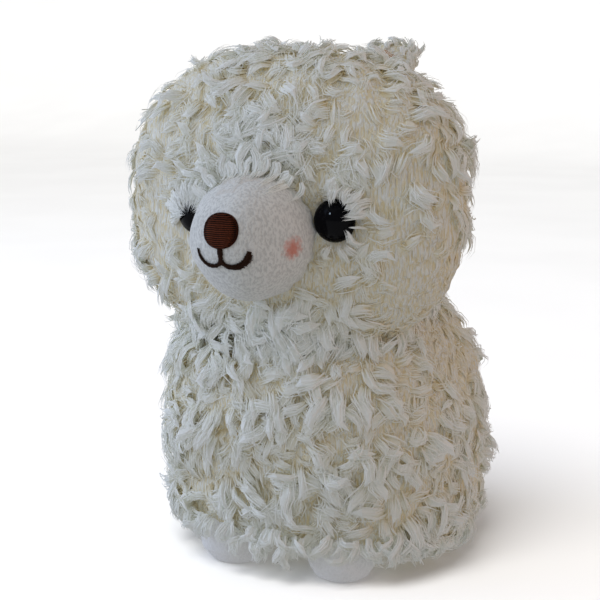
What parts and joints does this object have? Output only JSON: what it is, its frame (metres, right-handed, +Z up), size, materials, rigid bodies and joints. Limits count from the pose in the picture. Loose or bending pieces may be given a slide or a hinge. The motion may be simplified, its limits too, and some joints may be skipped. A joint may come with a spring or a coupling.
{
  "type": "plush alpaca",
  "caption": "Small standing plush alpaca with a curly cream fleece, a smooth round muzzle, stitched nose and mouth, glossy bead eyes and stumpy flat-soled feet.",
  "frame": {"origin": "on the floor, under the middle of the toy's outline box", "axes": "-Y is the way the toy faces, +X is the toy's left, +Z is up"},
  "size_m": [0.1059, 0.1239, 0.1536],
  "materials": {
    "curly_fleece": "long curly cream pile, warm tan at the roots",
    "short_pile": "short off-white pile with fine ribs",
    "nose_thread": "dark brown satin stitch",
    "mouth_thread": "blackish brown satin stitch",
    "eye_plastic": "polished black bead",
    "washer_plastic": "white moulded plastic",
    "ear_lining": "short tan pile",
    "fibre_filling": "loose white polyester fibre"
  },
  "bodies": {
    "root": {"head_fleece": "curly_fleece", "body_fleece": "curly_fleece", "ear_left": "curly_fleece", "ear_right": "curly_fleece", "tail": "curly_fleece", "muzzle_cover": "short_pile", "foot_front_left": "short_pile", "foot_front_right": "short_pile", "foot_hind_left": "short_pile", "foot_hind_right": "short_pile", "base_panel": "short_pile", "nose_embroidery": "nose_thread", "mouth_embroidery": "mouth_thread", "eye_left": "eye_plastic", "eye_right": "eye_plastic", "eye_washer_left": "washer_plastic", "eye_washer_right": "washer_plastic", "ear_lining_left": "ear_lining", "ear_lining_right": "ear_lining", "head_stuffing": "fibre_filling", "body_stuffing": "fibre_filling"}
  },
  "joints": []
}
